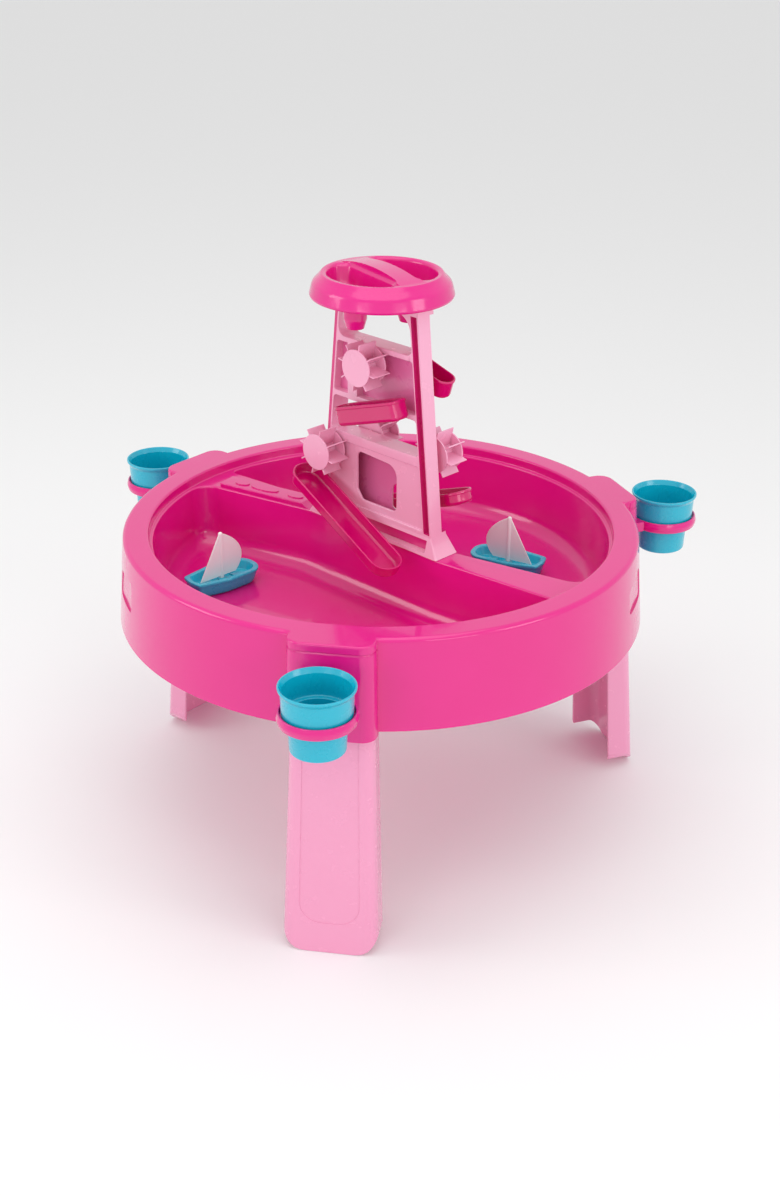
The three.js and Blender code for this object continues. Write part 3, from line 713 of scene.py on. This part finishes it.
def tower_frame():
    through = TOWER_HALF
    panel_foot = TOWER_FOOT + BASE_HEIGHT
    frame_shape = across(between_posts(panel_foot - 1, TOWER_TOP, 0), -TOWER_HALF, TOWER_HALF, 1)
    shelf_top = SHELF_HIGH + SHELF
    upper = rounded([
        (-post_x(shelf_top) + POST_WIDTH, shelf_top, 12), (post_x(shelf_top) - POST_WIDTH, shelf_top, 8),
        (post_x(TOWER_TOP) - POST_WIDTH, TOWER_TOP - SHELF, 24),
        (-post_x(TOWER_TOP) + POST_WIDTH, TOWER_TOP - SHELF, 24),
    ], 10)
    lower = between_posts(SHELF_LOW + SHELF, SHELF_MIDDLE, POST_WIDTH, 5)
    web = between_posts(SHELF_MIDDLE + SHELF, SHELF_HIGH, POST_WIDTH, 3)
    lower_panel = between_posts(panel_foot + 6, SHELF_LOW - 6, POST_WIDTH, 3)
    inside = between_posts(panel_foot + 2, SHELF_LOW, POST_WIDTH + 2)
    window = rounded(WINDOW, 8)
    notch = rounded(BACK_NOTCH)
    face = TOWER_HALF - WEB_SINK
    inner = face - TOWER_SHEET
    frame_shape = cut(
        frame_shape,
        opening(upper, -through, through),
        opening(lower, -through, through),
        sunk(web, -TOWER_SHEET, -through),
        sunk(web, TOWER_SHEET, through),
        sunk(lower_panel, -face, -through),
        sunk(lower_panel, face, through),
        across(inside, -inner, inner),
        opening(window, -face, 0),
        opening(notch, 0, face),
    )
    for side in (1, -1):
        frame_shape = cut(frame_shape, post_channel(side, 1), post_channel(side, -1))
    stay = block((STAY_FROM, -TOWER_HALF, SHELF_MIDDLE), (STAY_TO, 0, SHELF_HIGH + 1))
    frame_shape = joined(frame_shape, tower_base(), stay)
    for name, wheel in WHEELS.items():
        x, z = wheel_centre(name)
        side = wheel["side"]
        boss = cylinder_across(BOSS_RADIUS, 0, side * (WHEEL_NEAR - GAP), x, z)
        frame_shape = joined(frame_shape, boss)
        bore = cylinder_across(AXLE_BORE, side * 4, side * (WHEEL_NEAR + 1), x, z)
        frame_shape = cut(frame_shape, bore)
    return frame_shape


def wheel_centre(name):
    """X and Z of a wheel's axis, from its joint."""
    place = (HINGES[f"wheel_{name}_spin"] - AXIS) / UNIT
    return place.x, place.z


def paint_hollow_shade(shape):
    """Paints shade into the post channels, the webs and the base's recess by giving their faces deeper pinks.
    """
    panel_foot = TOWER_FOOT + BASE_HEIGHT
    for face in shape.data.polygons:
        x, y, z = (face.center - AXIS) / UNIT
        out = abs(x)
        depth = TOWER_HALF - abs(y)
        post = post_x(z)
        in_post = post - POST_WIDTH + 1 < out < post - 1
        # Post channel faces get the deeper pink of painted shade.
        if in_post and panel_foot + 2 < z < TOWER_TOP - SHELF + 1 and depth > 1:
            face.material_index = 1
        # Sunken web faces get the mid pink of painted shade.
        between = out < post - POST_WIDTH - 1
        if between and SHELF_MIDDLE + SHELF < z < SHELF_HIGH and depth > TOWER_HALF - TOWER_SHEET - 0.5:
            face.material_index = 2
        if between and panel_foot + 2 < z < SHELF_LOW and depth > WEB_SINK + TOWER_SHEET - 0.5:
            face.material_index = 2
        # The base's recess gets the deeper pink of painted shade.
        if TOWER_FOOT + 4 < z < panel_foot - 4 and out < POST_FOOT_X - 5 and depth > 1:
            face.material_index = 1


# ---------------------------------------------------------------- paddle wheels
def paddle_wheel(side, phase):
    """Two plain discs with eight straight paddles between them, about the Y axis."""
    near = side * WHEEL_NEAR
    far = side * (WHEEL_NEAR + WHEEL_WIDTH)
    edge = 0.5
    shape = cylinder_across(WHEEL_DISC, near, near + side * WHEEL_SHEET, edge=edge, steps=72)
    shape = joined(
        shape,
        cylinder_across(WHEEL_DISC, far - side * WHEEL_SHEET, far, edge=edge, steps=72),
        cylinder_across(WHEEL_HUB, near, far - side),
    )
    low, high = sorted((near, far))
    for k in range(PADDLES):
        root = (WHEEL_HUB - 3, low + 0.4, -WHEEL_SHEET / 2)
        tip = (WHEEL_PADDLE, high - 0.4, WHEEL_SHEET / 2)
        blade = block(root, tip, edge)
        shape = joined(shape, spun(blade, -(phase + k * 360 / PADDLES), "Y"))
    return cut(shape, cylinder_across(AXLE_BORE, near - side, far - side * 3))


def axle(side):
    return cylinder_across(AXLE_RADIUS, side * 4.5, side * (WHEEL_NEAR + WHEEL_WIDTH - 4), edge=0.6)


# ---------------------------------------------------------------- funnel dish
def half_disc(radius, edge, corner, arc_steps=48, corner_steps=10):
    """Half a disc on the -Y side: an arc, a chord at y = -edge, and round corners."""
    away = edge + corner
    over = math.sqrt((radius - corner) ** 2 - away**2)
    lean = math.atan2(away, over)
    points = arc(Vector((0, 0)), radius, -math.pi + lean, -lean, arc_steps)
    points += arc(Vector((over, -away)), corner, -lean, math.pi / 2, corner_steps)
    points.append(Vector((over, -edge)))
    points += arc(Vector((-over, -away)), corner, math.pi / 2, math.pi + lean, corner_steps)
    return points


def dish_bowl():
    """One D-shaped bowl with a round edge and a sloping floor."""
    radius = DISH_TOP_RADIUS - 7
    levels = (
        (10.5, DISH_BASE + WALL), (8, DISH_BASE + 4), (6, DISH_BASE + 7), (3.6, DISH_BASE + 13),
        (1, DISH_TOP - 4), (0.2, DISH_TOP - 2), (-1.6, DISH_TOP), (-2, BAR_CREST + 1),
    )
    rings = []
    for shrink, z in levels:
        rings.append(at_height(half_disc(radius - shrink, BAR_WIDTH / 2 + shrink, DISH_CORNER), z))
    return spun(skin(rings), BAR_TURN)


def dish_bar():
    """The bar across the dish, arched a little above the rim."""
    reach = DISH_TOP_RADIUS - 4
    steps = 20
    outline = [Vector((-reach, DISH_BASE + WALL)), Vector((reach, DISH_BASE + WALL))]
    for k in range(steps + 1):
        t = 1 - 2 * k / steps
        outline.append(Vector((reach * t, BAR_CREST - (BAR_CREST - BAR_END) * t * t)))
    return spun(across(outline, -BAR_WIDTH / 2 - 2, BAR_WIDTH / 2 + 2), BAR_TURN)


def funnel_dish():
    shape = lathe(rounded([
        (0, DISH_BASE, 0), (DISH_RADIUS - 16, DISH_BASE, 1), (DISH_RADIUS - 1, DISH_BASE + 3, 2),
        (DISH_RADIUS, DISH_BASE + 6, 2), (DISH_RADIUS - 3.6, DISH_BASE + 20, 12),
        (DISH_TOP_RADIUS + 3.4, DISH_TOP - 5, 5), (DISH_TOP_RADIUS - 0.8, DISH_TOP, 1.5), (0, DISH_TOP, 0),
    ], 5), 120)
    shape = joined(shape, dish_bar())
    for turn in (0, 180):
        spout = lathe(rounded([
            (0, SPOUT_BOTTOM, 0), (SPOUT_TIP, SPOUT_BOTTOM, 0.8), (SPOUT_RADIUS, SPOUT_BOTTOM + 12, 8),
            (SPOUT_RADIUS, DISH_BASE + 1, 0), (0, DISH_BASE + 1, 0),
        ], 5), 48)
        shape = joined(shape, spun(moved_by(spout, Matrix.Translation(SPOUT_PLACE)), turn))
    for turn in (0, 180):
        bore = lathe(rounded([
            (0, SPOUT_BOTTOM - 1, 0), (SPOUT_BORE, SPOUT_BOTTOM - 1, 0), (SPOUT_BORE, SPOUT_BOTTOM + 8, 3),
            (SPOUT_RADIUS - 3, DISH_BASE, 3), (SPOUT_RADIUS - 3, DISH_BASE + 6, 0), (0, DISH_BASE + 6, 0),
        ], 4), 48)
        bore = spun(moved_by(bore, Matrix.Translation(SPOUT_PLACE)), turn)
        shape = cut(shape, spun(dish_bowl(), turn), bore)
    return shape


# ---------------------------------------------------------------- chutes and slides
def trough(length, kind):
    """An open trough along +X with its rim at z = 0: a round near end and rounded far corners."""
    half = kind["width"] / 2
    depth = kind["depth"]
    sheet = kind["sheet"]

    def level(inset, z):
        near = half - inset - 0.5
        far = kind["far"] - inset
        return at_height(rounded([
            (inset, -half + inset, near), (length - inset, -half + inset, far),
            (length - inset, half - inset, far), (inset, half - inset, near),
        ], 12), z)

    rings = []
    inner = []
    quarter = 5
    bend = 5
    for k in range(quarter + 1):
        angle = math.pi / 2 * k / quarter
        inset = 1 + bend * (1 - math.sin(angle))
        rings.append(level(inset, -depth + bend * (1 - math.cos(angle))))
        inner.append(level(inset + sheet, -depth + sheet + bend * (1 - math.cos(angle))))
    lip = 3.5
    rings += [level(1, -lip - 0.6), level(0.3, -lip), level(0, -lip + 0.6), level(0, -0.7), level(0.7, 0)]
    inner += [level(sheet, -0.8), level(sheet - 1, 0.2)]
    return cut(skin(rings), skin(inner))


CHUTES = {
    "front": {"x": -46, "z": 563, "length": 112, "tilt": 18, "turn": 0},
    "back": {"x": -90, "z": 612, "length": 84, "tilt": 17, "turn": 180},
}


def upper_chute(x, z, length, tilt, turn):
    y = -(CHUTE_NEAR + CHUTE["width"] / 2)
    shape = spun(trough(length, CHUTE), -tilt, "Y")
    moved_by(shape, Matrix.Translation((x, y, z)))
    along = length - 14
    lug_x = x + along * math.cos(math.radians(tilt))
    lug_z = z + along * math.sin(math.radians(tilt)) - 9
    lug = cylinder_across(6, -TOWER_HALF - GAP, -CHUTE_NEAR - 1, lug_x, lug_z)
    return spun(joined(shape, lug), turn)


SLIDE_TOP = Vector((-84 - SLIDE["width"] / 2, -41, 472))
SLIDE_LENGTH = 214
SLIDE_TILT = 21
SLIDE_YAW = -8


def slide(turn):
    shape = spun(trough(SLIDE_LENGTH, SLIDE), SLIDE_TILT, "Y")
    shape = moved_by(spun(shape, SLIDE_YAW), Matrix.Translation(SLIDE_TOP))
    return spun(shape, turn)


# ---------------------------------------------------------------- toy boats
def hull_outline(inset):
    half = BOAT_WIDTH / 2
    end = BOAT_LENGTH / 2
    points = rounded([
        (-end, -half + 3, 21), (4, -half - 1, 30), (end - 4, -half + 8, 5), (end, 0, 30),
        (end - 4, half - 8, 5), (4, half + 1, 30), (-end, half - 3, 21),
    ], 8)
    return [Vector((x * (1 - inset / end), y * (1 - inset / half))) for x, y in points]


def placed_boat(shape, name):
    x, y, heading = BOATS[name]
    return moved_by(spun(shape, heading), Matrix.Translation((x, y, 0)))


def hull():
    low = FLOOR_TOP + GAP
    outside = skin([at_height(hull_outline(inset), low + z) for inset, z in (
        (10, 0), (8, 0.6), (5, 4), (2.6, 12), (2, BOAT_HEIGHT - 4.5), (0.4, BOAT_HEIGHT - 4),
        (0, BOAT_HEIGHT - 3), (0, BOAT_HEIGHT - 1), (0.8, BOAT_HEIGHT),
    )])
    tray = skin([at_height(hull_outline(inset), low + z) for inset, z in (
        (BOAT_LIP + 6, BOAT_DECK), (BOAT_LIP + 4, BOAT_DECK + 1), (BOAT_LIP + 1, BOAT_HEIGHT - 1),
        (BOAT_LIP - 1, BOAT_HEIGHT + 0.4),
    )])
    shape = cut(outside, tray)
    deck = low + BOAT_DECK
    shape = joined(shape, cylinder(MAST + 3, low + 2, deck + 3, 0.8))
    for x, length in ((24, 8), (-26, 10)):
        step = rounded([(x - length, -8, 3), (x + length, -8, 3), (x + length, 8, 3), (x - length, 8, 3)])
        shape = joined(shape, upright(step, deck - 1, deck + 2, 0.7))
    return cut(shape, cylinder(MAST + GAP, deck - 6, low + BOAT_HEIGHT))


def curve(points, steps=14):
    """Points along a cubic curve through its four guide points, without the last."""
    a, b, c, d = (Vector(point) for point in points)
    result = []
    for k in range(steps):
        t = k / steps
        s = 1 - t
        result.append(a * s**3 + b * 3 * s * s * t + c * 3 * s * t * t + d * t**3)
    return result


def sail():
    foot = FLOOR_TOP + GAP + BOAT_DECK + 5
    top = foot + SAIL_HEIGHT
    jib = 34
    main = 30
    cloth = [Vector((jib, foot - 1)), Vector((2, top - 2))]
    cloth += curve([
        (-2, top - 2), (-main * 1.25, top - 20), (-main * 1.3, foot + 18), (-main * 0.72, foot + 1),
    ])
    cloth.append(Vector((-main * 0.72, foot + 1)))
    shape = across(cloth, -SAIL_SHEET / 2, SAIL_SHEET / 2, 0.6)
    mast = lathe(rounded([
        (0, foot - 10.7, 0), (MAST, foot - 10.7, 0.5), (MAST, top, 2.8), (0, top, 0),
    ], 5), 32)
    return joined(shape, mast)


# ---------------------------------------------------------------- the assembly
piece(basin(), "basin_skin", "table", "hot_pink")
for place, angle in LEG_ANGLES.items():
    piece(spun(leg(), angle), f"leg_{place}_skin", "table", "pale_pink")
    out = Matrix.Rotation(math.radians(angle), 4, "Z") @ Matrix.Translation((CUP_REACH, 0, 0))
    piece(moved_by(cup_ring(), out), f"cup_ring_{place}_skin", "table", "hot_pink")
    piece(moved_by(cup(), out), f"cup_{place}_skin", f"cup_{place}", "turquoise")
tower = piece(tower_frame(), "tower_frame_skin", "table", "light_pink", more_looks=[RECESS_SHADE_PINK, WEB_SHADE_PINK])
# The tower's hollows get painted shade.
paint_hollow_shade(tower)
for name, wheel in WHEELS.items():
    x, z = wheel_centre(name)
    to_axis = Matrix.Translation((x, 0, z))
    piece(moved_by(paddle_wheel(**wheel), to_axis), f"wheel_{name}_skin", f"wheel_{name}", "light_pink")
    piece(moved_by(axle(wheel["side"]), to_axis), f"axle_{name}_skin", "table", "light_pink")
piece(funnel_dish(), "funnel_dish_skin", "table", "hot_pink")
for name, facts in CHUTES.items():
    piece(upper_chute(**facts), f"upper_chute_{name}_skin", "table", "deep_pink")
piece(slide(0), "slide_front_skin", "table", "deep_pink")
piece(slide(180), "slide_back_skin", "table", "deep_pink")
for name in BOATS:
    piece(placed_boat(hull(), name), f"boat_hull_{name}_skin", f"boat_{name}", "turquoise")
    piece(placed_boat(sail(), name), f"boat_sail_{name}_skin", f"boat_{name}", "white")


# ---------------------------------------------------------------- studio
def studio():
    scene = bpy.context.scene
    scene.view_settings.view_transform = "Standard"
    world = bpy.data.worlds.new("studio")
    world.use_nodes = True
    world.node_tree.nodes["Background"].inputs["Color"].default_value = (1, 1, 1, 1)
    world.node_tree.nodes["Background"].inputs["Strength"].default_value = 0.78
    scene.world = world
    floor_mesh = bpy.data.meshes.new("floor")
    reach = 14
    level = -0.0004
    corners = [(-reach, -reach, level), (reach, -reach, level), (reach, reach, level), (-reach, reach, level)]
    floor_mesh.from_pydata(corners, [], [(0, 1, 2, 3)])
    floor = bpy.data.objects.new("floor", floor_mesh)
    scene.collection.objects.link(floor)
    paper = bpy.data.materials.new("paper")
    paper.use_nodes = True
    paper.node_tree.nodes["Principled BSDF"].inputs["Base Color"].default_value = (0.93, 0.93, 0.93, 1)
    paper.node_tree.nodes["Principled BSDF"].inputs["Roughness"].default_value = 0.9
    floor_mesh.materials.append(paper)


def soft_light(name, place, size, power, tall=1.0):
    """A soft box aimed at the middle of the table; tall is its height against its width."""
    lamp = bpy.data.lights.new(name, "AREA")
    lamp.shape = "RECTANGLE"
    lamp.size = size
    lamp.size_y = size * tall
    lamp.energy = power
    light = bpy.data.objects.new(name, lamp)
    bpy.context.scene.collection.objects.link(light)
    light.location = AXIS + Vector(place)
    aim = AXIS + Vector((0, 0, 0.4)) - light.location
    light.rotation_euler = aim.to_track_quat("-Z", "Y").to_euler()


def camera():
    """The camera, its place and aim given in drawing millimetres about the table's axis."""
    place = Vector((1424.83, -1449.91, 1288.17)) * UNIT + AXIS
    target = Vector((8.72, 8.47, 299.26)) * UNIT + AXIS
    roll = 0.39
    lens = bpy.data.cameras.new("camera")
    lens.lens = 51.556
    view = bpy.data.objects.new("camera", lens)
    bpy.context.scene.collection.objects.link(view)
    turn = (target - place).to_track_quat("-Z", "Y").to_matrix().to_4x4()
    view.matrix_world = Matrix.Translation(place) @ turn @ Matrix.Rotation(math.radians(roll), 4, "Z")
    bpy.context.scene.camera = view


studio()
soft_light("overhead", (0.3, -0.4, 2.6), 2.2, 16)
soft_light("left", (-1.6, -2.2, 1.6), 1.2, 12)
soft_light("right", (2.6, 0.6, 1.4), 1.0, 9)
soft_light("near_left", (0.72, -2.5, 0.95), 0.9, 4.5, 0.6)
soft_light("near_right", (2.5, -0.8, 0.95), 0.9, 4.5, 0.6)
camera()
